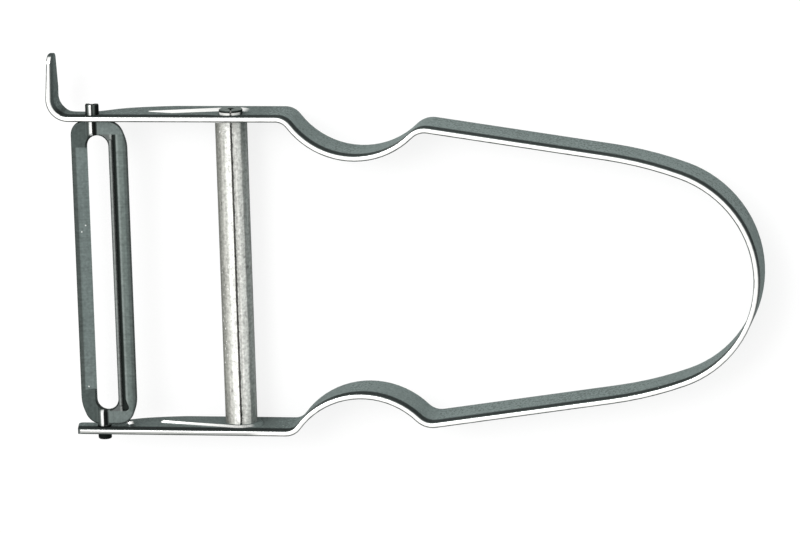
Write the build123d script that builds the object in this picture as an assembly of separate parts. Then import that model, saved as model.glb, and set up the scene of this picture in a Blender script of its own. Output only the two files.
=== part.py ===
from build123d import *
import math
import os

# A vegetable peeler that lies on the lower edge of its bent strip. All lengths are in millimetres.
# In the drawing frame X = 0 is the outside of the handle's round end, the blade lies towards -X,
# Y = 0 is the line that the handle is mirrored about, and Z = 0 is the strip's lower edge.

# Strip that is bent into the handle, both arms and the eye gouge
overall_length = 110.6
strip_thickness = 0.85
strip_width = 9.5
edge_round = 0.25

# Handle loop, at the middle of the strip's thickness
end_radius = 17.3
end_sweep_deg = 70.0
side_radius = 58.6
side_taper_deg = 8.5
heel_radius = 3.2
waist_radius = 12.7
waist_gap = 36.8
waist_to_crossbar = 20.0
shoulder_radius = 2.5

# Arms that carry the blade and the crossbar
pivot_inset = 6.9
pivot_to_crossbar = 21.4
arm_overhang = 3.9
arm_end_width = 4.4
arm_end_slant = 0.7
arm_end_round = 0.7
narrowing_length = 18.0
narrowing_shares = ((0.45, 0.19), (0.7, 0.52))

# Eye gouge at the end of the upper arm, which widens again round the bend
gouge_bend_radius = 3.0
gouge_height = 10.0
gouge_lean_deg = 2.8
gouge_root_width = 6.1
gouge_widening_length = 4.2
gouge_widening_shares = ((0.56, 0.3), (0.8, 0.6))
gouge_tip_width = 3.7
gouge_tip_thickness = 0.62
gouge_tip_round = 1.5

# Pressed bead round each end of the crossbar
bead_radius = 3.5
bead_tip_radius = 0.35
bead_length = 13.2
bead_height = 0.45
bead_side_width = 0.55

# Nib pressed into the lower arm, on whose flank the blade's guard side rests
nib_offset = 4.1
nib_radius = 0.8
nib_height = 0.9
nib_drop = 0.3
nib_crown_share = 0.65
nib_crown_round = 0.2

# Crossbar rolled from sheet, with its seam left open
crossbar_diameter = 5.0
crossbar_wall = 0.6
crossbar_seam = 0.3
seam_turn_deg = 10.0
neck_diameter = 3.2
neck_bore_diameter = 1.0
neck_clearance = 0.05
flare_diameter = 3.7
flare_height = 0.9
flare_round = 0.2

# Slotted blade, measured from its swivel axis
blade_length = 48.5
blade_thickness = 0.7
blade_end_gap = 0.25
blade_shift = 0.2
cutting_reach = 3.47
guard_reach = 5.43
cutting_corner_radius = 2.3
cutting_foot_length = 3.3
cutting_foot_inset = 1.3
guard_corner_length = 3.35
guard_corner_inset = 1.25
end_corner_radius = 2.6
side_corner_radius = 6.0
slot_width = 3.45
slot_end_width = 2.35
cutting_bar_width = 2.47
blade_edge_round = 0.3
slot_chamfer = 0.22
slot_chamfer_deg = 45.0

# Ground bevel of the cutting edge
bevel_width = 1.65
bevel_end_setback = 1.9
bevel_foot_setback = 3.2
cutting_edge_thickness = 0.12

# Guard lip and the groove behind it
lip_radius = 0.3
lip_setback = 0.4
groove_width = 0.54
groove_depth = 0.4
groove_setback = 0.86
groove_foot_width = 1.05
groove_foot_length = 1.5
groove_foot_shift = 0.3

# Half-round journals, pressed as a rib into the blade's ends
journal_radius = 1.07
journal_hollow_radius = 0.4
journal_clearance = 0.05
journal_upper_overhang = 1.7
journal_lower_overhang = 1.1
journal_end_round = 0.25

# Depth by which every cutting shape runs past the faces that it cuts
overrun = 1.0

half_thickness = strip_thickness / 2
arm_inner_y = blade_length / 2 + blade_end_gap
arm_y = arm_inner_y + half_thickness
arm_outer_y = arm_inner_y + strip_thickness
pivot_x = pivot_inset - overall_length
pivot_z = strip_width - arm_end_width / 2
crossbar_x = pivot_x + pivot_to_crossbar
crossbar_z = strip_width / 2
neck_x = pivot_x - arm_overhang / 2
slot_length = blade_length - 2 * slot_end_width
slot_edge_x = cutting_bar_width - cutting_reach
guard_edge_x = slot_edge_x + slot_width
along_y = Rot(90, 0, 0)


def polar(centre, radius, angle_deg):
    """Point at a radius and an angle about a centre, in the XY plane."""
    angle = math.radians(angle_deg)
    return Vector(centre.X + radius * math.cos(angle), centre.Y + radius * math.sin(angle))


def angle_to(start, end):
    """Direction from one point to another in the XY plane, in degrees."""
    return math.degrees(math.atan2(end.Y - start.Y, end.X - start.X))


def centre_on_line(line_point, line_deg, centre, distance, forward):
    """Point of a line at a distance from a centre, on its forward or backward side."""
    along = polar(Vector(0, 0), 1, line_deg)
    foot = line_point + along * (centre - line_point).dot(along)
    step = math.sqrt(distance**2 - (centre - foot).length ** 2)
    return foot + along * (step if forward else -step)


# The taper line, the end arc and the side arc, from the round end backwards
end_centre = Vector(-half_thickness - end_radius, 0)
side_centre = polar(end_centre, end_radius - side_radius, end_sweep_deg)
taper_normal_deg = 90 - side_taper_deg
taper_start = polar(side_centre, side_radius, taper_normal_deg)

# The waist and the two small arcs that join it to the taper line and to the arm
waist_centre = Vector(crossbar_x + waist_to_crossbar, waist_gap / 2 + half_thickness + waist_radius)
heel_line = taper_start - polar(Vector(0, 0), heel_radius, taper_normal_deg)
heel_reach = waist_radius + heel_radius
heel_centre = centre_on_line(heel_line, -side_taper_deg, waist_centre, heel_reach, True)
shoulder_line = Vector(0, arm_y - shoulder_radius)
shoulder_reach = waist_radius + shoulder_radius
shoulder_centre = centre_on_line(shoulder_line, 0, waist_centre, shoulder_reach, False)
shoulder_deg = angle_to(shoulder_centre, waist_centre)
heel_deg = angle_to(heel_centre, waist_centre)

gouge_centre = Vector(-overall_length + half_thickness + gouge_bend_radius, arm_y + gouge_bend_radius)
gouge_end_deg = 180 - gouge_lean_deg


def handle_edges(offset):
    """Edges of one face of the upper half of the handle loop, offset outwards from mid-thickness."""
    waist_sweep = heel_deg - shoulder_deg
    return [
        CenterArc(shoulder_centre, shoulder_radius + offset, 90, shoulder_deg - 90),
        CenterArc(waist_centre, waist_radius - offset, shoulder_deg + 180, waist_sweep),
        CenterArc(heel_centre, heel_radius + offset, heel_deg, taper_normal_deg - heel_deg),
        Line(
            polar(heel_centre, heel_radius + offset, taper_normal_deg),
            polar(side_centre, side_radius + offset, taper_normal_deg),
        ),
        CenterArc(side_centre, side_radius + offset, taper_normal_deg, end_sweep_deg - taper_normal_deg),
        CenterArc(end_centre, end_radius + offset, end_sweep_deg, -end_sweep_deg),
    ]


def gouge_edges(offset, tip_half_thickness):
    """Edges of one face of the upper arm and of the eye gouge at its end."""
    bend_radius = gouge_bend_radius - offset
    bend_start = Vector(gouge_centre.X, arm_y + offset)
    bend_end = polar(gouge_centre, bend_radius, gouge_end_deg)
    tip_middle = polar(gouge_centre, gouge_bend_radius, gouge_end_deg)
    rise = arm_y + gouge_height - tip_middle.Y
    lean = math.radians(gouge_lean_deg)
    tip_middle += Vector(rise * math.tan(lean), rise)
    tip = polar(tip_middle, tip_half_thickness, -gouge_lean_deg)
    return [
        Line(Vector(shoulder_centre.X, arm_y + offset), bend_start),
        CenterArc(gouge_centre, bend_radius, 270, gouge_end_deg - 270),
        Line(bend_end, tip),
    ], tip


def strip_profile():
    """Outline of the whole bent strip, seen along Z."""
    edges = []
    tips = []
    for side in (1, -1):
        offset = side * half_thickness
        upper_half = handle_edges(offset)
        lower_half = [edge.mirror(Plane.XZ) for edge in upper_half]
        lower_start = Vector(shoulder_centre.X, -arm_y - offset)
        lower_tip = Vector(pivot_x - arm_overhang - arm_end_slant, -arm_y - offset)
        upper_arm, upper_tip = gouge_edges(offset, side * gouge_tip_thickness / 2)
        edges += upper_half + lower_half + upper_arm
        edges.append(Line(lower_start, lower_tip))
        tips.append((upper_tip, lower_tip))
    edges.append(Line(tips[0][0], tips[1][0]))
    edges.append(Line(tips[0][1], tips[1][1]))
    return make_face(edges)


def stations(start, end, shares):
    """Points from start to end, with shares of the way along X and along Y between them."""
    way = end - start
    between = [start + Vector(along * way.X, across * way.Y) for along, across in shares]
    return [start, *between, end]


def arm_narrowing(side):
    """Shape cut away under one arm, where the strip gets narrower towards the blade."""
    neck = Vector(neck_x, strip_width - arm_end_width)
    full = Vector(neck_x + narrowing_length, 0)
    edges = [Spline(*stations(full, neck, narrowing_shares), tangents=[(-1, 0), (-1, 0)])]
    last = neck
    if side > 0:
        last = Vector(neck_x - gouge_widening_length, strip_width - gouge_root_width)
        widening = stations(neck, last, gouge_widening_shares)
        edges.append(Spline(*widening, tangents=[(-1, 0), (0, -1)]))
    outer_x = -overall_length - overrun
    edges += [
        Line(last, Vector(outer_x, last.Y)),
        Line(Vector(outer_x, last.Y), Vector(outer_x, -overrun)),
        Line(Vector(outer_x, -overrun), Vector(full.X, -overrun)),
        Line(Vector(full.X, -overrun), full),
    ]
    reach = arm_y + gouge_height + overrun
    return extrude(Plane.XZ * make_face(edges), -side * reach)


def end_border(start, end, corners, end_round):
    """Sheet that trims an end of the strip, from one station to another, to a rounded outline."""
    low = -overrun
    high = strip_width + overrun
    sheet = make_face(Polyline((start, low), (end, low), (end, high), (start, high), close=True))
    return sheet - make_face(FilletPolyline(*corners, radius=end_round, close=True))


def arm_end_trim():
    """Shape cut off the lower arm's end, which slants outwards towards its lower edge."""
    upper_x = pivot_x - arm_overhang
    lower_z = strip_width - arm_end_width
    back_x = neck_x + 2 * arm_end_round
    corners = [
        (back_x, lower_z),
        (upper_x - arm_end_slant, lower_z),
        (upper_x, strip_width),
        (back_x, strip_width),
    ]
    border = end_border(neck_x, -overall_length, corners, arm_end_round)
    return extrude(Plane.XZ * border, arm_outer_y + overrun)


def gouge_trim():
    """Shape cut away round the eye gouge, which gets narrower towards its round tip."""
    root_y = gouge_centre.Y
    tip_y = arm_y + gouge_height
    back_y = root_y - 2 * gouge_tip_round
    slope = (gouge_root_width - gouge_tip_width) / (tip_y - root_y)
    back_width = gouge_tip_width + slope * (tip_y - back_y)
    corners = [
        (back_y, strip_width - back_width),
        (tip_y, strip_width - gouge_tip_width),
        (tip_y, strip_width),
        (back_y, strip_width),
    ]
    border = end_border(root_y, tip_y + overrun, corners, gouge_tip_round)
    cutter = extrude(Plane.YZ * border, gouge_bend_radius + strip_thickness + overrun)
    return Pos(-overall_length - overrun, 0, 0) * cutter


def bead_layer(rise_share):
    """Teardrop outline of a bead, at a share of its height above the face that it rises from."""
    inset = bead_side_width * rise_share
    tip_x = bead_tip_radius - bead_length
    with BuildSketch() as layer:
        Circle(bead_radius - inset)
        with Locations((tip_x + inset, 0)):
            Circle(bead_tip_radius)
        make_hull()
    return Pos(0, 0, rise_share * bead_height) * layer.sketch


def bead(root_share):
    """Solid teardrop of a bead, from a share below its foot up to its crest."""
    return loft([bead_layer(root_share).face(), bead_layer(1).face()], ruled=True)


def nib(root_height):
    """Blunt cone of the nib with a round crown, lengthened below its foot by a root height."""
    crown_radius = nib_radius * nib_crown_share
    cone = Cone(nib_radius, crown_radius, nib_height)
    cone = fillet(cone.edges().group_by(Axis.Z)[-1], nib_crown_round)
    return Pos(0, 0, nib_height / 2) * cone + Pos(0, 0, -root_height / 2) * Cylinder(nib_radius, root_height)


def press(band, place, raised, hollow):
    """Raises a shape out of an arm's inner face and sinks its hollow into the outer face."""
    return band + place * raised - place * Pos(0, 0, -strip_thickness) * hollow


def arm_place(side, x, z):
    """Place on an arm's inner face, with its own Z pointing to the other arm."""
    return Location(Plane(origin=(x, side * arm_inner_y, z), x_dir=(1, 0, 0), z_dir=(0, -side, 0)))


def round_rims(band):
    """Rounds the upper and lower rims of the whole strip, all but the four short edges at its ends."""
    levels = band.edges().group_by(Axis.Z)
    rims = levels[0] + levels[-1]
    return fillet(rims.sort_by(SortBy.LENGTH)[4:], edge_round)


def make_handle_band():
    """The bent strip: handle loop, both arms, beads, holes, nib and eye gouge."""
    band = round_rims(extrude(strip_profile(), strip_width))
    band -= arm_narrowing(1)
    band -= arm_narrowing(-1)
    band -= arm_end_trim()
    band -= gouge_trim()
    bead_root_share = half_thickness / bead_height
    bead_past_share = overrun / bead_height
    for side in (1, -1):
        place = arm_place(side, crossbar_x, crossbar_z)
        band = press(band, place, bead(-bead_root_share), bead(-bead_past_share))
    nib_place = arm_place(-1, pivot_x + nib_offset, pivot_z - nib_drop)
    band = press(band, nib_place, nib(half_thickness), nib(overrun))
    hole_length = 2 * (arm_outer_y + overrun)
    neck_hole = Cylinder(neck_diameter / 2 + neck_clearance, hole_length)
    pivot_hole = Cylinder(journal_radius + journal_clearance, hole_length)
    band -= Pos(crossbar_x, 0, crossbar_z) * along_y * neck_hole
    band -= Pos(pivot_x, 0, pivot_z) * along_y * pivot_hole
    return band


def make_crossbar():
    """Rolled tube between the arms, necked and flared where it passes through them."""
    shoulder_y = arm_inner_y - bead_height
    neck_end_y = shoulder_y + strip_thickness
    flare_end_y = neck_end_y + flare_height
    tube_radius = crossbar_diameter / 2
    neck_radius = neck_diameter / 2
    body = Cylinder(tube_radius, 2 * shoulder_y)
    body += Cylinder(neck_radius, 2 * flare_end_y)
    for side in (1, -1):
        flare = Cylinder(flare_diameter / 2, flare_height)
        flare = fillet(flare.edges().filter_by(GeomType.CIRCLE), flare_round)
        body += Pos(0, 0, side * (neck_end_y + flare_height / 2)) * flare
    body -= Cylinder(tube_radius - crossbar_wall, 2 * (shoulder_y - crossbar_wall))
    body -= Cylinder(neck_bore_diameter / 2, 2 * (flare_end_y + overrun))
    bar = along_y * body
    seam = Pos(0, 0, tube_radius) * Box(crossbar_seam, 2 * (flare_end_y + overrun), crossbar_diameter)
    bar -= Rot(0, seam_turn_deg, 0) * seam
    return Pos(crossbar_x, 0, crossbar_z) * bar


def blade_sheet():
    """Flat sheet of the blade with its slot, its outer edges rounded on both faces."""
    end_y = blade_length / 2
    corners = [
        (cutting_foot_inset - cutting_reach, -end_y),
        (guard_reach - guard_corner_inset, -end_y),
        (guard_reach, guard_corner_length - end_y),
        (guard_reach, end_y - guard_corner_length),
        (guard_reach - guard_corner_inset, end_y),
        (-cutting_reach, end_y),
        (-cutting_reach, cutting_foot_length - end_y),
    ]
    radii = [
        end_corner_radius,
        end_corner_radius,
        side_corner_radius,
        side_corner_radius,
        end_corner_radius,
        cutting_corner_radius,
        side_corner_radius,
    ]
    outline = FilletPolyline(*corners, radius=radii, close=True)
    sheet = extrude(make_face(outline), blade_thickness)
    rims = sheet.edges().group_by(Axis.Z)
    sheet = fillet(rims[0] + rims[-1], blade_edge_round)
    return sheet


def blade_bevel():
    """Wedge ground off the cutting bar, down to the slot's edge."""
    foot_x = slot_edge_x - bevel_width
    past_x = slot_edge_x + overrun
    past_z = blade_thickness + overrun
    outline = Polyline(
        (foot_x, blade_thickness),
        (slot_edge_x, cutting_edge_thickness),
        (past_x, cutting_edge_thickness),
        (past_x, past_z),
        (foot_x, past_z),
        close=True,
    )
    first_y = bevel_foot_setback - slot_length / 2
    last_y = slot_length / 2 - bevel_end_setback
    wedge = extrude(Plane.XZ * make_face(outline), first_y - last_y)
    return Pos(0, first_y, 0) * wedge


def guard_lip():
    """Rounded lip that stands up along the guard side of the slot."""
    length = slot_length - slot_width / 2
    lip = Cylinder(lip_radius, length)
    ends = [Pos(0, 0, side * length / 2) * Sphere(lip_radius) for side in (1, -1)]
    lip = along_y * lip.fuse(*ends)
    return Pos(guard_edge_x + lip_setback, 0, blade_thickness) * lip


def guard_groove():
    """Groove behind the guard lip, with a wider foot at its lower end."""
    groove_x = guard_edge_x + groove_setback
    length = slot_length + groove_width / 2
    foot_radius = groove_foot_width / 2
    foot_y = foot_radius - length / 2
    with BuildSketch() as foot:
        with Locations((groove_x + groove_foot_shift, foot_y)):
            Circle(foot_radius)
        with Locations((groove_x, foot_y + groove_foot_length)):
            Circle(groove_width / 2)
        make_hull()
    channel = Pos(groove_x, 0, 0) * Rot(0, 0, 90) * SlotOverall(length, groove_width)
    outline = channel + foot.sketch
    return Pos(0, 0, blade_thickness - groove_depth) * extrude(outline, groove_depth + overrun)


def journal_hollow():
    """Round cut that runs under the rib from end to end."""
    return along_y * Cylinder(journal_hollow_radius, 2 * arm_outer_y + blade_length)


def journal_rib():
    """Half-round rib along the whole blade, whose ends are the journals."""
    length = 2 * arm_outer_y + journal_upper_overhang + journal_lower_overhang
    middle_y = (journal_upper_overhang - journal_lower_overhang) / 2 - blade_shift
    rib = Cylinder(journal_radius, length)
    rib = fillet(rib.edges().filter_by(GeomType.CIRCLE), journal_end_round)
    rib = Pos(0, middle_y, 0) * along_y * rib - journal_hollow()
    below = Box(4 * journal_radius, length + blade_length, 2 * journal_radius)
    return rib - Pos(0, 0, -journal_radius) * below


def make_blade():
    """Pressed blade: slotted sheet, bevel, guard lip and groove, and half-round journals."""
    hollow = journal_hollow()
    slot_x = (slot_edge_x + guard_edge_x) / 2
    slot = Pos(slot_x, 0, 0) * Rot(0, 0, 90) * SlotOverall(slot_length, slot_width)
    opening = Pos(0, 0, -overrun) * extrude(slot, journal_radius + 2 * overrun)
    flare = extrude(slot, journal_radius, taper=-slot_chamfer_deg)
    flare = Pos(0, 0, blade_thickness - slot_chamfer) * flare
    blade = blade_sheet() - hollow
    blade += journal_rib()
    blade -= opening
    blade -= flare
    blade += guard_lip()
    blade -= guard_groove()
    blade -= blade_bevel()
    return Pos(pivot_x, blade_shift, pivot_z) * blade


parts = {
    "handle_band": make_handle_band(),
    "blade": make_blade(),
    "crossbar": make_crossbar(),
}

# The part's own origin is the bottom centre of its box
box = Compound(list(parts.values())).bounding_box()
to_origin = Pos(-box.center().X, -box.center().Y, -box.min.Z)

os.makedirs("parts", exist_ok=True)
for name, shape in parts.items():
    export_step(to_origin * shape, f"parts/{name}.step")
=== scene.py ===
"""Dresses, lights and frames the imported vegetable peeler.

Lengths are metres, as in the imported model, except where a name ends in _mm. Colours are written as they are
seen, from 0 to 255, and turned to linear light once. A share is a number from 0 to 1 over a surface.
"""

import logging
import math
from dataclasses import dataclass
from enum import Enum
from typing import Mapping, Optional, Sequence, Union

import bpy
import numpy as np
from mathutils import Matrix, Vector


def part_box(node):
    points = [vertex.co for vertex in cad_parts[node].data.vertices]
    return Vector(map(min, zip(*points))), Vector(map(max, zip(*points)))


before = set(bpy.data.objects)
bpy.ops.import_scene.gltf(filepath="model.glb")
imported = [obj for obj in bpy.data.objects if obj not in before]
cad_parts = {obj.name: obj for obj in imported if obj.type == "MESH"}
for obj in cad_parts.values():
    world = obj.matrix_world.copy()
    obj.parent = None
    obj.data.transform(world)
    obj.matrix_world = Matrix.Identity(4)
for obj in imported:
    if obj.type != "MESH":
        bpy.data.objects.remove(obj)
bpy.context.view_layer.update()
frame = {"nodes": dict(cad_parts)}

LOG = logging.getLogger("peeler")
MM = 0.001
DEGREES = 180 / math.pi

Triple = tuple[float, float, float]
Span = tuple[float, float]
Profile = tuple[tuple[float, Triple], ...]
Value = Union["Field", bpy.types.NodeSocket, float, Sequence[float]]

UP: Triple = (0.0, 0.0, 1.0)
TO_GOUGE_ARM: Triple = (0.0, 1.0, 0.0)

# The curve from a colour as it is seen to linear light.
CHANNEL_TOP = 255
DARK_END = 0.04045
DARK_SLOPE = 12.92
CURVE_OFFSET = 0.055
CURVE_POWER = 2.4

# How a noise is centred and spread, and the share of a speck's radius that is full.
NOISE_MIDDLE = 0.5
NOISE_GAIN = 4
SPECK_CORE = 0.7

# The Mix node's sockets where it mixes colours.
MIX_SHARE, MIX_START, MIX_END = 0, 6, 7
MIX_RESULT = 2


def seen(red: float, green: float, blue: float) -> Triple:
    """Turns a colour as it is seen into linear light.

    Each channel c from 0 to 1 becomes c / DARK_SLOPE up to DARK_END. Above it, c plus CURVE_OFFSET is divided
    by 1 plus CURVE_OFFSET and raised to the power CURVE_POWER.

    Args:
        red: The red channel, from 0 to 255.
        green: The green channel, from 0 to 255.
        blue: The blue channel, from 0 to 255.

    Returns:
        The three linear channels.
    """
    shares = np.array([red, green, blue]) / CHANNEL_TOP
    curve = ((shares + CURVE_OFFSET) / (1 + CURVE_OFFSET)) ** CURVE_POWER
    linear = np.where(shares <= DARK_END, shares / DARK_SLOPE, curve)
    return tuple(float(channel) for channel in linear)


class Streaks(Enum):
    """The way that a surface's streaks run, as their noise's cells to a metre along X, Y and Z."""

    ROUND_THE_STRIP = (130.0, 130.0, 3400.0)
    ALONG_Y = (3200.0, 110.0, 3200.0)
    ALONG_X = (160.0, 3000.0, 160.0)


@dataclass(frozen=True)
class Noise:
    """A soft noise: its cells to a metre along X, Y and Z, its finer octaves, and its shift off others."""

    per_metre: Triple
    octaves: float = 2
    shift: float = 0


@dataclass(frozen=True)
class Field:
    """A number that varies over a surface: a socket on which Python's operators add Math nodes."""

    graph: "Graph"
    socket: bpy.types.NodeSocket

    def math(self, operation: str, *others: Value, clamp: bool = False) -> "Field":
        """Adds a Math node.

        Args:
            operation: The Math node's operation.
            others: The values that follow this one.
            clamp: Whether the result is kept between 0 and 1.

        Returns:
            The node's result.
        """
        inputs = dict(enumerate((self, *others)))
        node = self.graph.node("Math", {"operation": operation, "use_clamp": clamp}, inputs)
        return Field(self.graph, node.outputs[0])

    def __add__(self, other: Value) -> "Field":
        """This plus other."""
        return self.math("ADD", other)

    __radd__ = __add__

    def __sub__(self, other: Value) -> "Field":
        """This less other."""
        return self.math("SUBTRACT", other)

    def __rsub__(self, other: float) -> "Field":
        """A number less this."""
        return (self * -1) + other

    def __mul__(self, other: Value) -> "Field":
        """This times other."""
        return self.math("MULTIPLY", other)

    __rmul__ = __mul__

    def __abs__(self) -> "Field":
        """This without its sign."""
        return self.math("ABSOLUTE")

    def at_least(self, other: Value) -> "Field":
        """The larger of this and other."""
        return self.math("MAXIMUM", other)

    def root_of_squares(self, other: "Field") -> "Field":
        """The root of this squared plus other squared."""
        return (self * self + other * other).math("SQRT")

    def down_to(self, level: float) -> "Field":
        """Is 1 where this share is 0, and falls to level where it is 1."""
        return 1 - self * (1 - level)

    def above(self, low: float, high: float) -> "Field":
        """Rises smoothly from 0 at low to 1 at high.

        Args:
            low: Where the rise starts.
            high: Where the rise ends.

        Returns:
            The share.
        """
        inputs = {"Value": self, "From Min": low, "From Max": high}
        node = self.graph.node("MapRange", {"interpolation_type": "SMOOTHSTEP"}, inputs)
        return Field(self.graph, node.outputs[0])

    def below(self, low: float, high: float) -> "Field":
        """Falls smoothly from 1 at low to 0 at high."""
        return 1 - self.above(low, high)

    def within(self, low: float, high: float, soft: float) -> "Field":
        """Is 1 between low and high and falls to 0 outside.

        Args:
            low: The band's lower end, where the share is a half.
            high: The band's upper end, where the share is a half.
            soft: The width over which each end fades.

        Returns:
            The share.
        """
        half = soft / 2
        return self.above(low - half, low + half) * self.below(high - half, high + half)


@dataclass(frozen=True)
class Spot:
    """The surface point in the part's own frame, in millimetres, and its distance along Y from the middle."""

    x: Field
    y: Field
    z: Field
    off_middle: Field


class Graph:
    """A node tree, with one method that makes any node."""

    def __init__(self, tree: bpy.types.NodeTree) -> None:
        """Empties the tree.

        Args:
            tree: The material's or world's nodes.
        """
        tree.nodes.clear()
        self.tree = tree

    def node(
        self,
        kind: str,
        settings: Optional[Mapping[str, object]] = None,
        inputs: Optional[Mapping[Union[str, int], Value]] = None,
    ) -> bpy.types.Node:
        """Makes a node, gives it its settings, and then its values and links.

        Args:
            kind: The node's type, without the words ShaderNode.
            settings: Its settings by name, and a ramp's stops as pairs of place and colour.
            inputs: Its sockets by name or number, each with a value or a link.

        Returns:
            The node.
        """
        node = self.tree.nodes.new("ShaderNode" + kind)
        for name, setting in (settings or {}).items():
            if name == "stops":
                self.set_stops(node.color_ramp, setting)
            else:
                setattr(node, name, setting)
        for name, value in (inputs or {}).items():
            self.feed(node.inputs[name], value)
        return node

    @staticmethod
    def set_stops(ramp: bpy.types.ColorRamp, stops: Profile) -> None:
        """Gives a ramp its stops.

        Args:
            ramp: The ramp.
            stops: Pairs of place and colour, in rising order.
        """
        while len(ramp.elements) < len(stops):
            ramp.elements.new(1)
        for element, (place, colour) in zip(ramp.elements, stops):
            element.position = place
            element.color = (*colour, 1)

    def feed(self, socket: bpy.types.NodeSocket, value: Value) -> None:
        """Links a socket, or sets its value.

        Args:
            socket: The input.
            value: A field, another socket, a number, or a colour or vector.
        """
        if isinstance(value, Field):
            value = value.socket
        if isinstance(value, bpy.types.NodeSocket):
            self.tree.links.new(value, socket)
        elif socket.type == "RGBA" and len(value) == 3:
            socket.default_value = (*value, 1)
        else:
            socket.default_value = value

    def spot(self, middle_y_mm: float) -> Spot:
        """The surface point, from its Object coordinates.

        Args:
            middle_y_mm: The piece's middle along Y.

        Returns:
            The point, with its distance along Y from that middle.
        """
        parts = self.node("SeparateXYZ", None, {0: self.node("TexCoord").outputs["Object"]}).outputs
        x, y, z = (Field(self, part) * (1 / MM) for part in parts)
        return Spot(x, y, z, abs(y - middle_y_mm))

    def dot(self, vector: Value, towards: Triple) -> Field:
        """The dot product of a vector with a direction.

        Args:
            vector: The vector.
            towards: The direction, of any length, which is made one unit long.

        Returns:
            The dot product.
        """
        inputs = {0: vector, 1: tuple(Vector(towards).normalized())}
        return Field(self, self.node("VectorMath", {"operation": "DOT_PRODUCT"}, inputs).outputs["Value"])

    def facing(self, towards: Triple) -> Field:
        """How far the surface faces a direction: 1 straight at it, 0 across it and -1 away from it."""
        return self.dot(self.node("TexCoord").outputs["Normal"], towards)

    def cells(self, per_metre: Triple, shift: float) -> bpy.types.NodeSocket:
        """The surface point counted in a pattern's cells.

        Args:
            per_metre: Cells to a metre along X, Y and Z, by which the place is multiplied.
            shift: What is then added along each axis.

        Returns:
            The point.
        """
        inputs = {0: self.node("TexCoord").outputs["Object"], 1: per_metre, 2: (shift, shift, shift)}
        return self.node("VectorMath", {"operation": "MULTIPLY_ADD"}, inputs).outputs[0]

    def noise(self, pattern: Noise) -> Field:
        """Soft noise around 0, mostly between -1 and 1.

        The noise from 0 to 1 is less NOISE_MIDDLE and then times NOISE_GAIN.

        Args:
            pattern: The noise's cells, octaves and shift.

        Returns:
            The noise.
        """
        place = self.cells(pattern.per_metre, pattern.shift)
        node = self.node("TexNoise", None, {"Vector": place, "Scale": 1.0, "Detail": pattern.octaves})
        return (Field(self, node.outputs[0]) - NOISE_MIDDLE) * NOISE_GAIN

    def specks(self, per_metre: float, radius: float) -> Field:
        """Small separate dots, 1 in the dot and 0 outside.

        Args:
            per_metre: Cells to a metre, each with one centre.
            radius: The dot's radius as a share of a cell, of which SPECK_CORE is full.

        Returns:
            The dots' share.
        """
        place = self.cells((per_metre, per_metre, per_metre), 0)
        node = self.node("TexVoronoi", None, {"Vector": place, "Scale": 1.0})
        return Field(self, node.outputs[0]).below(radius * SPECK_CORE, radius)

    def mix(self, share: Value, start: Value, end: Value) -> bpy.types.NodeSocket:
        """A colour between two.

        Args:
            share: 0 gives start and 1 gives end.
            start: The first colour.
            end: The second colour.

        Returns:
            The mixed colour.
        """
        settings = {"data_type": "RGBA", "clamp_factor": True}
        inputs = {MIX_SHARE: share, MIX_START: start, MIX_END: end}
        return self.node("Mix", settings, inputs).outputs[MIX_RESULT]

    def scale(self, colour: Value, share: Value) -> bpy.types.NodeSocket:
        """A colour times a number."""
        return self.node("VectorMath", {"operation": "SCALE"}, {0: colour, "Scale": share}).outputs[0]

    def along(self, value: Field, profile: Profile) -> bpy.types.NodeSocket:
        """The colour that a profile has at a value.

        The value's way from the profile's first place to its last is the place on the ramp, so the stops
        stand at their own values and blend evenly between them.

        Args:
            value: The value, in the profile's own unit.
            profile: Pairs of value and colour, in rising order.

        Returns:
            The colour.
        """
        low, high = profile[0][0], profile[-1][0]
        stops = [((place - low) / (high - low), colour) for place, colour in profile]
        share = (value - low) * (1 / (high - low))
        return self.node("ValToRGB", {"stops": stops}, {"Fac": share}).outputs[0]

    def steel(self, inputs: Mapping[str, Value], height: Field, relief: float) -> None:
        """Ends the tree in a steel.

        Args:
            inputs: The shader's sockets by name, each with a value or a link.
            height: The surface's relief, mostly between 0 and 2.
            relief: The height of one unit of that relief, in metres.
        """
        bump = self.node("Bump", None, {"Height": height, "Distance": relief, "Strength": 1.0})
        shader = self.node("BsdfPrincipled", None, {**inputs, "Normal": bump.outputs[0]})
        self.node("OutputMaterial", None, {"Surface": shader.outputs[0]})


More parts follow.
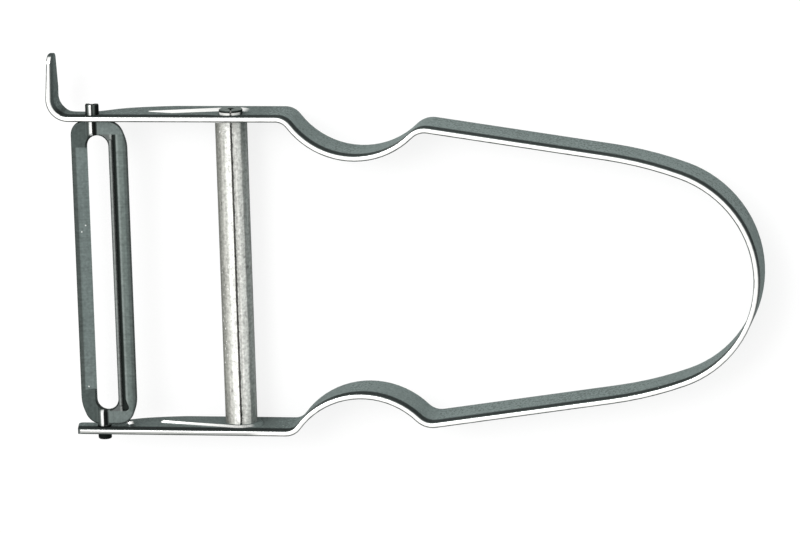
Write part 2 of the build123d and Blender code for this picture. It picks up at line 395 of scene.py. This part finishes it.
@dataclass(frozen=True)
class Finish:
    """A steel finish: what every steel of the peeler shares."""

    name: str
    streaks: Streaks
    mottle: Noise = Noise((2300.0, 2300.0, 2300.0), 3)
    mottle_share: float = 0.3
    streak_shift: float = 11
    streak_share: float = 0.08
    clouds: Noise = Noise((90.0, 90.0, 90.0), 2, 23)
    cloud_share: float = 0.07
    roughness: float = 0.4
    metallic: float = 0.6
    specular: float = 0.0
    grazing_tint: Triple = (0.5, 0.5, 0.5)
    relief: float = 0.002 * MM

    def grain(self, graph: Graph) -> Field:
        """The fine uneven shade of rolled steel, around 1.

        It is 1 plus a share of small mottles, a share of streaks along the rolling and a share of clouds.

        Args:
            graph: The material's nodes.

        Returns:
            The shade.
        """
        mottle = graph.noise(self.mottle) * self.mottle_share
        streaks = graph.noise(Noise(self.streaks.value, shift=self.streak_shift)) * self.streak_share
        clouds = graph.noise(self.clouds) * self.cloud_share
        return 1 + mottle + streaks + clouds

    def surface(self, graph: Graph, grain: Field) -> dict[str, Value]:
        """The shader's sockets over the surface, which each finish gives its own way.

        Args:
            graph: The material's nodes.
            grain: The uneven shade.

        Returns:
            The sockets by name.
        """
        raise NotImplementedError

    def material(self) -> bpy.types.Material:
        """Makes the finish as a material.

        Returns:
            The material.
        """
        made = bpy.data.materials.new(self.name)
        made.use_nodes = True
        graph = Graph(made.node_tree)
        grain = self.grain(graph)
        shared = {
            "Roughness": self.roughness,
            "Metallic": self.metallic,
            "Specular IOR Level": self.specular,
            "Specular Tint": self.grazing_tint,
        }
        graph.steel({**shared, **self.surface(graph, grain)}, grain, self.relief)
        return made


@dataclass(frozen=True)
class StripFinish(Finish):
    """Rolled strip: mottled grey faces with painted shade on the arms and a painted dark reflection band
    under the upper rim, and polished sheared edges painted near-white as a highlight, with painted grey shade
    on their far side.
    """

    colour: Triple = seen(132, 143, 141)
    # The rim is polished steel. Its near-white colour below is a painted highlight, and the grey after it is
    # painted shade on the rim's far side.
    edge_colour: Triple = seen(252, 252, 250)
    # Painted shade on the rim's far side and on the lower arm's outer half, and the grey of the gouge's back.
    far_edge_colour: Triple = seen(104, 108, 105)
    middle_y_mm: float = -4.2375
    # The arms' darker grey is painted shade.
    arm_x_mm: Span = (-23.0, -16.0)
    arm_shade: float = 0.72
    # The band below is painted shade: a dark reflection painted on the face under the rim, fainter on the
    # gouge.
    band_z_mm: Span = (7.4, 9.5)
    band_soft_mm: float = 0.9
    band_shade: float = 0.24
    band_roughness: float = 0.16
    band_fade_y_mm: Span = (24.6, 28.6)
    gouge_band_share: float = 0.35
    gouge_y_mm: Span = (25.5, 25.7)
    # The gouge's tip, where it faces the gouge's arm, is darkened as painted shade.
    gouge_tip_level: Span = (0.5, 0.8)
    gouge_tip_shade: float = 0.62
    rim_z_mm: Span = (8.9, 9.1)
    rim_level: Span = (0.7, 0.92)
    gouge_level: Span = (0.48, 0.68)
    slope_level: Span = (0.38, 0.62)
    bead_foot_mm: Span = (24.35, 24.6)
    nib_foot_mm: Span = (24.05, 24.6)
    nib_x_mm: Span = (-41.0, -40.0)
    foot_soft_mm: float = 0.1
    edge_metallic: float = 0.9
    edge_roughness: float = 0.28
    far_side: Triple = (-0.5, -0.87, 0.0)
    far_level: Span = (0.06, 0.22)
    far_wear: Noise = Noise((900.0, 900.0, 900.0), 3, 53)
    far_wear_share: float = 0.09
    gouge_back_x_mm: float = -54.88
    gouge_back_y_mm: float = 30.35
    gouge_back_slope: float = 0.049
    gouge_worn_mm: Span = (0.08, 0.18)
    gouge_worn_from_mm: Span = (28.9, 29.1)
    low_arm_x_mm: Span = (-25.5, -22.5)
    low_arm_mm: Span = (24.74, 24.96)
    low_arm_share: float = 0.7

    def edge(self, graph: Graph, spot: Spot, rim: Field, gouge: Field) -> Field:
        """The share of painted highlight: what is level on the rim, and what slopes below it, such as the
        beads' sides.

        The feet of the beads and of the nib slope as well, but they are bent and not sheared, so they are
        left out.

        Args:
            graph: The material's nodes.
            spot: The surface point.
            rim: The share of the upper rim.
            gouge: The share of the eye gouge.

        Returns:
            The share.
        """
        level = abs(graph.facing(UP))
        top = level.above(*self.rim_level).at_least(level.above(*self.gouge_level) * gouge)
        bead_foot = spot.off_middle.within(*self.bead_foot_mm, self.foot_soft_mm)
        nib_foot = spot.off_middle.within(*self.nib_foot_mm, self.foot_soft_mm) * spot.x.below(*self.nib_x_mm)
        slope = level.above(*self.slope_level) * (1 - bead_foot.at_least(nib_foot))
        return rim * top + (1 - rim) * slope

    def dulled(self, graph: Graph, spot: Spot, rim: Field) -> Field:
        """The share of the edge painted grey in place of its highlight: painted shade on its far side and on
        the lower arm's outer half, and the gouge's back.

        The far side is what faces far_side, with a noise for its ragged border. The gouge's back is a
        straight line that leans by its slope, and the edge is grey up to a given distance from it.

        Args:
            graph: The material's nodes.
            spot: The surface point.
            rim: The share of the upper rim.

        Returns:
            The share.
        """
        # Painted shade where the rim faces the room's darker side, with a ragged border.
        far = graph.facing(self.far_side) + graph.noise(self.far_wear) * self.far_wear_share
        from_back = spot.x - self.gouge_back_x_mm + (self.gouge_back_y_mm - spot.y) * self.gouge_back_slope
        back = from_back.below(*self.gouge_worn_mm) * spot.y.above(*self.gouge_worn_from_mm)
        below_middle = self.middle_y_mm - spot.y
        low_arm = below_middle.above(*self.low_arm_mm) * spot.x.below(*self.low_arm_x_mm)
        lines = back.at_least(low_arm * self.low_arm_share * rim)
        return (far.above(*self.far_level) * rim).at_least(lines)

    def surface(self, graph: Graph, grain: Field) -> dict[str, Value]:
        """The grey face, with painted shade on the arms, at the gouge's tip and in the dark band, and the
        edge's painted highlight with painted grey shade on its far side.

        Args:
            graph: The material's nodes.
            grain: The uneven shade.

        Returns:
            The sockets by name.
        """
        spot = graph.spot(self.middle_y_mm)
        gouge = spot.off_middle.above(*self.gouge_y_mm)
        rim = spot.z.above(*self.rim_z_mm).at_least(gouge)
        # The share of painted highlight on the rim and on up-facing slopes.
        edge = self.edge(graph, spot, rim, gouge)
        # Painted shade: the dark band under the rim, fainter on the gouge.
        fade = spot.off_middle.above(*self.band_fade_y_mm).down_to(self.gouge_band_share)
        band = spot.z.within(*self.band_z_mm, self.band_soft_mm) * (1 - edge) * fade
        # Painted shade on the arms.
        arm = spot.x.below(*self.arm_x_mm)
        # Painted shade at the gouge's tip, where it faces the gouge's arm.
        tip = graph.facing(TO_GOUGE_ARM).above(*self.gouge_tip_level) * gouge
        shade = grain * arm.down_to(self.arm_shade) * tip.down_to(self.gouge_tip_shade)
        face = graph.scale(self.colour, shade * band.down_to(self.band_shade))
        # The painted highlight, greyed as painted shade on the rim's far side.
        grey = graph.scale(self.far_edge_colour, grain)
        bright = graph.mix(self.dulled(graph, spot, rim), self.edge_colour, grey)
        rough = band * (self.band_roughness - self.roughness) + edge * (self.edge_roughness - self.roughness)
        return {
            "Base Color": graph.mix(edge, face, bright),
            "Metallic": edge * (self.edge_metallic - self.metallic) + self.metallic,
            "Roughness": rough + self.roughness,
        }


@dataclass(frozen=True)
class BladeFinish(Finish):
    """Hardened blade steel: ground bevel, dark margins, black groove and polished journals.

    cutting_side and guard_side give the colour across the two bars by X, and rib and journal by the way along
    X from the pivot. guard_side, rib and journal hold painted highlight and painted shade, and cutting_side
    painted shade at its outer margin.
    along X from the pivot.
    """

    margin_colour: Triple = seen(74, 82, 80)
    web_colour: Triple = seen(107, 116, 114)
    # Painted shade on the slot's rounded upper edge round its ends.
    ring_colour: Triple = seen(52, 57, 55)
    # Painted shade in the groove's hollow.
    groove_colour: Triple = seen(38, 43, 41)
    # Painted shade on the journals' caps and on the lower journal's end under the arm.
    cap_colour: Triple = seen(56, 61, 59)
    journal_end_colour: Triple = seen(26, 29, 28)
    speck_colour: Triple = seen(225, 230, 226)
    pivot_x_mm: float = -48.4
    middle_y_mm: float = -4.0375
    bar_end_mm: Span = (22.0, 22.2)
    bars_part_mm: Span = (-0.1, 0.1)
    bevel_y_mm: Span = (-22.74, 15.96)
    bevel_soft_mm: float = 0.12
    slot_x_mm: float = -47.675
    slot_half_mm: float = 20.175
    ring_mm: Span = (1.6, 1.95)
    ring_soft_mm: float = 0.08
    ring_from_mm: Span = (20.175, 20.775)
    groove_x_mm: Span = (-45.3, -44.1)
    groove_soft_mm: float = 0.04
    groove_z_mm: Span = (7.85, 7.96)
    rib_half_mm: Span = (1.0, 1.14)
    rib_from_mm: Span = (21.8, 22.1)
    journal_from_mm: Span = (24.2, 24.5)
    journal_end_mm: Span = (-28.6, -28.4)
    cap_level: Span = (0.5, 0.8)
    grinding: Noise = Noise(Streaks.ALONG_X.value, 2, 31)
    grinding_share: float = 0.12
    specks_per_metre: float = 330.0
    speck_radius: float = 0.05
    # The first two stops are painted shade where the blade's outer margin curves down; the bevel beyond is
    # its ground grey.
    cutting_side: Profile = (
        (-51.9, seen(68, 74, 72)),
        (-51.15, seen(76, 83, 81)),
        (-51.0, seen(117, 128, 126)),
        (-50.4, seen(119, 130, 128)),
        (-49.5, seen(115, 126, 124)),
    )
    # Across the guard bar: painted shade at the slot's edge, a painted highlight on the lip, painted shade in
    # the groove, a painted lit groove wall, then painted shade at the outer margin.
    guard_side: Profile = (
        (-46.0, seen(96, 100, 99)),
        (-45.72, seen(100, 105, 103)),
        (-45.58, seen(134, 138, 136)),
        (-45.36, seen(128, 132, 130)),
        (-45.3, seen(46, 51, 49)),
        (-44.76, seen(52, 58, 56)),
        (-44.62, seen(128, 137, 134)),
        (-44.5, seen(126, 135, 132)),
        (-44.3, seen(104, 113, 110)),
        (-43.75, seen(100, 110, 107)),
        (-43.5, seen(84, 92, 90)),
        (-43.0, seen(84, 90, 88)),
    )
    # The rib's and the journal's stripes are painted highlight and painted shade across the half-round rib.
    rib: Profile = (
        (-1.07, seen(78, 86, 84)),
        (-0.6, seen(84, 91, 89)),
        (-0.4, seen(124, 131, 128)),
        (-0.28, seen(240, 242, 240)),
        (0.02, seen(246, 247, 245)),
        (0.12, seen(34, 37, 36)),
        (0.62, seen(26, 29, 28)),
        (0.78, seen(110, 119, 116)),
        (1.07, seen(112, 121, 118)),
    )
    journal: Profile = (
        (-1.07, seen(22, 25, 24)),
        (-0.74, seen(40, 44, 42)),
        (-0.6, seen(92, 99, 96)),
        (-0.36, seen(112, 120, 117)),
        (-0.26, seen(238, 240, 238)),
        (-0.02, seen(246, 247, 245)),
        (0.08, seen(40, 44, 42)),
        (0.24, seen(34, 38, 36)),
        (0.36, seen(94, 101, 98)),
        (0.56, seen(88, 95, 92)),
        (0.7, seen(34, 38, 36)),
        (1.07, seen(22, 25, 24)),
    )

    def flats(self, graph: Graph, grain: Field, spot: Spot, across: Field) -> bpy.types.NodeSocket:
        """The colour of the two bars and of the webs that join them, with painted shade at the margins, the
        guard lip's painted highlight and shade, and the bevel's grinding streaks.

        Args:
            graph: The material's nodes.
            grain: The uneven shade.
            spot: The surface point.
            across: The way along X from the slot's middle line, in millimetres.

        Returns:
            The colour.
        """
        bar = spot.off_middle.below(*self.bar_end_mm)
        bevel = spot.y.within(*self.bevel_y_mm, self.bevel_soft_mm)
        cutting = graph.mix(bevel, self.margin_colour, graph.along(spot.x, self.cutting_side))
        left = graph.mix(bar, self.margin_colour, cutting)
        right = graph.mix(bar, self.web_colour, graph.along(spot.x, self.guard_side))
        grinding = graph.noise(self.grinding) * self.grinding_share * bevel
        return graph.scale(graph.mix(across.above(*self.bars_part_mm), left, right), grain + grinding)

    def turned(self, graph: Graph, spot: Spot, from_pivot: Field) -> bpy.types.NodeSocket:
        """The colour of the ribs at the blade's ends, of the journals that they run into, and of their caps,
        painted as highlight and shade.

        Args:
            graph: The material's nodes.
            spot: The surface point.
            from_pivot: The way along X from the pivot, in millimetres.

        Returns:
            The colour.
        """
        journal = spot.off_middle.above(*self.journal_from_mm)
        # The ribs' and journals' painted highlight and shade.
        ribs = graph.mix(journal, graph.along(from_pivot, self.rib), graph.along(from_pivot, self.journal))
        # The caps and the lower journal's end painted dark as painted shade.
        cap = abs(graph.facing(TO_GOUGE_ARM)).above(*self.cap_level) * journal
        capped = graph.mix(cap, ribs, self.cap_colour)
        return graph.mix(spot.y.above(*self.journal_end_mm), self.journal_end_colour, capped)

    def surface(self, graph: Graph, grain: Field) -> dict[str, Value]:
        """The flats with a ring of painted shade round the slot's ends, the groove's painted shade, the ribs
        and a few specks.

        The ring of painted shade lies by the distance from the slot's middle line, which is the root of the
        squares of the way across it and of the way past its straight part. The groove's painted shade is what
        lies deep between its two sides.

        Args:
            graph: The material's nodes.
            grain: The uneven shade.

        Returns:
            The sockets by name.
        """
        spot = graph.spot(self.middle_y_mm)
        across = spot.x - self.slot_x_mm
        past = (spot.off_middle - self.slot_half_mm).at_least(0.0)
        from_slot = across.root_of_squares(past)
        # The ring of painted shade round the slot's ends.
        ring = from_slot.within(*self.ring_mm, self.ring_soft_mm) * spot.off_middle.above(*self.ring_from_mm)
        ringed = graph.mix(ring, self.flats(graph, grain, spot, across), self.ring_colour)
        # The groove painted dark as painted shade in its hollow.
        groove = spot.x.within(*self.groove_x_mm, self.groove_soft_mm) * spot.z.below(*self.groove_z_mm)
        grooved = graph.mix(groove, ringed, self.groove_colour)
        from_pivot = spot.x - self.pivot_x_mm
        on_rib = abs(from_pivot).below(*self.rib_half_mm) * spot.off_middle.above(*self.rib_from_mm)
        ribbed = graph.mix(on_rib, grooved, self.turned(graph, spot, from_pivot))
        specks = graph.specks(self.specks_per_metre, self.speck_radius)
        return {"Base Color": graph.mix(specks, ribbed, self.speck_colour)}


@dataclass(frozen=True)
class TubeFinish(Finish):
    """Drawn tube with painted light: a painted highlight along its top, painted shade on its flanks, and
    painted shade beside the open seam.

    Angles go round the tube's axis, 0 straight up and positive towards +X. flanks gives each one its colour,
    a painted highlight or painted shade.
    """

    # Painted shade along both sides of the open seam, with ragged borders.
    stain_colour: Triple = seen(112, 116, 112)
    # Painted light inside the bore, where only shade reaches.
    bore_colour: Triple = seen(240, 240, 236)
    end_colour: Triple = seen(112, 120, 117)
    # The flare's lip is a painted highlight, and the rest of the flare is painted shade.
    flare_colour: Triple = seen(250, 250, 247)
    groove_colour: Triple = seen(50, 55, 53)
    # Painted glints along the lit flank, beside the painted highlight.
    fleck_colour: Triple = seen(246, 246, 243)
    axis_x_mm: float = -27.0
    axis_z_mm: float = 4.75
    middle_y_mm: float = -4.2375
    bore_mm: Span = (2.3, 2.42)
    flare_mm: Span = (24.8, 24.9)
    flare_top_mm: Span = (25.36, 25.44)
    flare_level: Span = (0.35, 0.6)
    end_level: Span = (0.55, 0.85)
    seam_deg: float = 10.5
    stain_deg: Span = (2.6, 4.4)
    stain_edge: Noise = Noise((2600.0, 1900.0, 2600.0), 3, 83)
    waves: Noise = Noise((700.0, 180.0, 700.0), 3, 47)
    ragged_deg: float = 3.2
    scuffs: Noise = Noise((1900.0, 800.0, 1900.0), 4, 61)
    scuff_level: Span = (0.3, 1.0)
    scuff_share: float = 0.34
    flecks: Noise = Noise((2300.0, 1500.0, 2300.0), 3, 97)
    fleck_level: Span = (0.5, 0.72)
    fleck_patches: Noise = Noise((260.0, 150.0, 260.0), 2, 91)
    patch_level: Span = (0.1, 0.5)
    fleck_deg: Span = (-58.0, -14.0)
    fleck_soft_deg: float = 12.0
    # The flanks are painted highlight and painted shade by angle: near-white along the top, greyer and darker
    # down the sides.
    flanks: Profile = (
        (-180, seen(150, 154, 150)),
        (-90, seen(116, 118, 114)),
        (-55, seen(126, 127, 122)),
        (-38, seen(154, 155, 149)),
        (-28, seen(190, 190, 184)),
        (-18, seen(196, 197, 191)),
        (-11, seen(236, 237, 232)),
        (4, seen(248, 248, 244)),
        (18, seen(192, 193, 188)),
        (25, seen(240, 240, 235)),
        (34, seen(226, 228, 223)),
        (45, seen(224, 226, 221)),
        (49.5, seen(142, 146, 143)),
        (61, seen(134, 140, 137)),
        (75, seen(146, 151, 148)),
        (90, seen(140, 145, 142)),
        (180, seen(150, 154, 150)),
    )

    def wall(self, graph: Graph, grain: Field, angle: Field, from_axis: Field) -> bpy.types.NodeSocket:
        """The colour of the tube's wall, painted with highlight and shade round it, and of its bore, painted
        light, with painted shade beside the seam, the scuffs, and painted glints.

        Args:
            graph: The material's nodes.
            grain: The uneven shade.
            angle: The angle round the axis, in degrees.
            from_axis: The distance from the axis, in millimetres.

        Returns:
            The colour.
        """
        # The flanks profile paints the highlight and shade round the tube, with wavy borders.
        wavy = angle + graph.noise(self.waves) * self.ragged_deg
        scuffs = graph.noise(self.scuffs).above(*self.scuff_level) * self.scuff_share
        worn = graph.scale(graph.along(wavy, self.flanks), grain - scuffs)
        # Painted shade beside the seam, its borders made ragged by noise.
        ragged = angle + graph.noise(self.stain_edge) * self.ragged_deg
        seam_shade = abs(ragged - self.seam_deg).below(*self.stain_deg)
        seam_shaded = graph.mix(seam_shade, worn, self.stain_colour)
        # The bore painted bright as painted light.
        bored = graph.mix(from_axis.below(*self.bore_mm), seam_shaded, self.bore_colour)
        # Painted glints in patches on the flank beside the highlight.
        patches = graph.noise(self.fleck_patches).above(*self.patch_level)
        flank = angle.within(*self.fleck_deg, self.fleck_soft_deg)
        flecks = graph.noise(self.flecks).above(*self.fleck_level) * (patches * flank)
        return graph.mix(flecks, bored, self.fleck_colour)

    def surface(self, graph: Graph, grain: Field) -> dict[str, Value]:
        """The wall, and at both ends the flare with its lip as a painted highlight over painted shade, and
        its grey end face.

        Args:
            graph: The material's nodes.
            grain: The uneven shade.

        Returns:
            The sockets by name.
        """
        spot = graph.spot(self.middle_y_mm)
        out_x, out_z = spot.x - self.axis_x_mm, spot.z - self.axis_z_mm
        angle = out_x.math("ARCTAN2", out_z) * DEGREES
        wall = self.wall(graph, grain, angle, out_x.root_of_squares(out_z))
        # Painted highlight where the flare's lip faces up, over painted shade.
        lip = graph.facing(UP).above(*self.flare_level) * spot.off_middle.below(*self.flare_top_mm)
        flare = graph.mix(lip, self.groove_colour, self.flare_colour)
        outside = graph.mix(spot.off_middle.above(*self.flare_mm), wall, flare)
        end = abs(graph.facing(TO_GOUGE_ARM)).above(*self.end_level)
        return {"Base Color": graph.mix(end, outside, graph.scale(self.end_colour, grain))}


STRIP_STEEL = StripFinish(
    "rolled_strip_steel",
    Streaks.ROUND_THE_STRIP,
    mottle=Noise((3000.0, 3000.0, 1900.0), 3),
    mottle_share=0.22,
    roughness=0.46,
    metallic=0.3,
    grazing_tint=(0.1, 0.1, 0.1),
)
TUBE_STEEL = TubeFinish(
    "drawn_tube_steel",
    Streaks.ALONG_Y,
    mottle_share=0.34,
    streak_share=0.16,
    roughness=0.34,
    metallic=0.35,
)
BLADE_STEEL = BladeFinish("ground_blade_steel", Streaks.ALONG_Y, mottle_share=0.2)


@dataclass(frozen=True)
class SubAssembly:
    """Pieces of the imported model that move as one: each field is named for a piece and holds its finish."""

    def dress(self, nodes: Mapping[str, bpy.types.Object]) -> None:
        """Puts each piece's finish into all of its slots, and reports the piece.

        Args:
            nodes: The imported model's pieces by name.
        """
        for name, finish in vars(self).items():
            material = finish.material()
            for slot in nodes[name].material_slots:
                slot.material = material
            low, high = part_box(name)
            size = [round(side / MM, 2) for side in high - low]
            LOG.info("%s: %s, %s mm", name, finish.name, size)


@dataclass(frozen=True)
class Handle(SubAssembly):
    """The bent strip, and the crossbar that is flared into its arms."""

    handle_band: StripFinish = STRIP_STEEL
    crossbar: TubeFinish = TUBE_STEEL


@dataclass(frozen=True)
class Blade(SubAssembly):
    """The blade, which turns on its journals between the arms."""

    blade: BladeFinish = BLADE_STEEL


@dataclass(frozen=True)
class Floor:
    """A pale floor that is white where the lamps reach it, and keeps the peeler's shadow."""

    half_side: float = 8.0
    drop: float = 0.02 * MM
    colour: Triple = (0.86, 0.86, 0.86)
    backdrop: Triple = (1.0, 1.0, 1.0)
    backdrop_strength: float = 1.08
    backdrop_share: float = 0.74

    def material(self) -> bpy.types.Material:
        """The floor's material: lit paint, mixed with plain white for rays from the camera and off metal.

        Returns:
            The material.
        """
        made = bpy.data.materials.new("pale_floor")
        made.use_nodes = True
        graph = Graph(made.node_tree)
        rays = graph.node("LightPath").outputs
        camera, glossy, through = (
            Field(graph, rays[f"Is {kind} Ray"]) for kind in ("Camera", "Glossy", "Transmission")
        )
        share = (camera + glossy).math("ADD", through, clamp=True) * self.backdrop_share
        paint = graph.node("BsdfDiffuse", None, {"Color": self.colour})
        white = graph.node("Emission", None, {"Color": self.backdrop, "Strength": self.backdrop_strength})
        mixed = graph.node("MixShader", None, {0: share, 1: paint.outputs[0], 2: white.outputs[0]})
        graph.node("OutputMaterial", None, {"Surface": mixed.outputs[0]})
        return made

    def build(self) -> None:
        """Makes the floor, a level square just under the peeler."""
        corners = np.array([(-1, -1), (1, -1), (1, 1), (-1, 1)]) * self.half_side
        points = np.column_stack((corners, np.full(len(corners), -self.drop)))
        mesh = bpy.data.meshes.new("floor")
        mesh.from_pydata(points.tolist(), [], [(0, 1, 2, 3)])
        mesh.materials.append(self.material())
        floor = bpy.data.objects.new("floor", mesh)
        bpy.context.scene.collection.objects.link(floor)


@dataclass(frozen=True)
class Lighting:
    """Plain soft studio light: a pale room, darker low down in front and to the right, and one wide lamp."""

    room_low: Triple = (0.42, 0.43, 0.43)
    room_high: Triple = (1.08, 1.08, 1.07)
    room_towards: Triple = (-0.42, 0.42, 0.8)
    room_span: Span = (-0.15, 0.85)
    lamp_place: Triple = (-0.42, 0.34, 0.9)
    lamp_side: float = 0.55
    lamp_watts: float = 5.0

    def room(self) -> None:
        """Makes the world, which brightens smoothly towards the lamp's side and overhead."""
        world = bpy.data.worlds.new("pale_room")
        world.use_nodes = True
        graph = Graph(world.node_tree)
        turn = graph.dot(graph.node("TexCoord").outputs["Generated"], self.room_towards)
        colour = graph.mix(turn.above(*self.room_span), self.room_low, self.room_high)
        sky = graph.node("Background", None, {"Color": colour, "Strength": 1.0})
        graph.node("OutputWorld", None, {"Surface": sky.outputs[0]})
        bpy.context.scene.world = world

    def lamp(self) -> None:
        """Makes the wide lamp and points it at the peeler."""
        light = bpy.data.lights.new("soft_lamp", "AREA")
        light.size = self.lamp_side
        light.energy = self.lamp_watts
        lamp = bpy.data.objects.new("soft_lamp", light)
        lamp.location = self.lamp_place
        lamp.rotation_euler = Vector(self.lamp_place).to_track_quat("Z", "Y").to_euler()
        bpy.context.scene.collection.objects.link(lamp)

    def build(self) -> None:
        """Makes the room and the lamp."""
        self.room()
        self.lamp()


@dataclass(frozen=True)
class Viewpoint:
    """The photograph's camera, fitted to the strip's upright edges and the handle's outline."""

    place: Triple = (0.14898, 0.190482, 0.879465)
    right: Triple = (0.986235, -0.028833, -0.162815)
    up: Triple = (-0.006971, 0.976553, -0.215165)
    ahead: Triple = (-0.165201, -0.213339, -0.96291)
    lens_mm: float = 263.365
    sensor_mm: float = 36.0
    near: float = 0.05
    far: float = 40.0

    def build(self) -> None:
        """Makes the camera and gives it to the scene."""
        data = bpy.data.cameras.new("camera")
        data.sensor_width = self.sensor_mm
        data.lens = self.lens_mm
        data.clip_start = self.near
        data.clip_end = self.far
        camera = bpy.data.objects.new("camera", data)
        turn = np.column_stack((self.right, self.up, -np.array(self.ahead)))
        camera.matrix_world = Matrix.Translation(self.place) @ Matrix(turn.tolist()).to_4x4()
        bpy.context.scene.collection.objects.link(camera)
        bpy.context.scene.camera = camera


def main() -> None:
    """Dresses the peeler's two bodies, then makes the floor, the light and the camera."""
    logging.basicConfig(level=logging.INFO, format="%(name)s: %(message)s")
    bpy.context.scene.view_settings.view_transform = "Standard"
    for part in (Handle(), Blade()):
        part.dress(frame["nodes"])
    Floor().build()
    Lighting().build()
    Viewpoint().build()


if __name__ == "__main__":
    main()
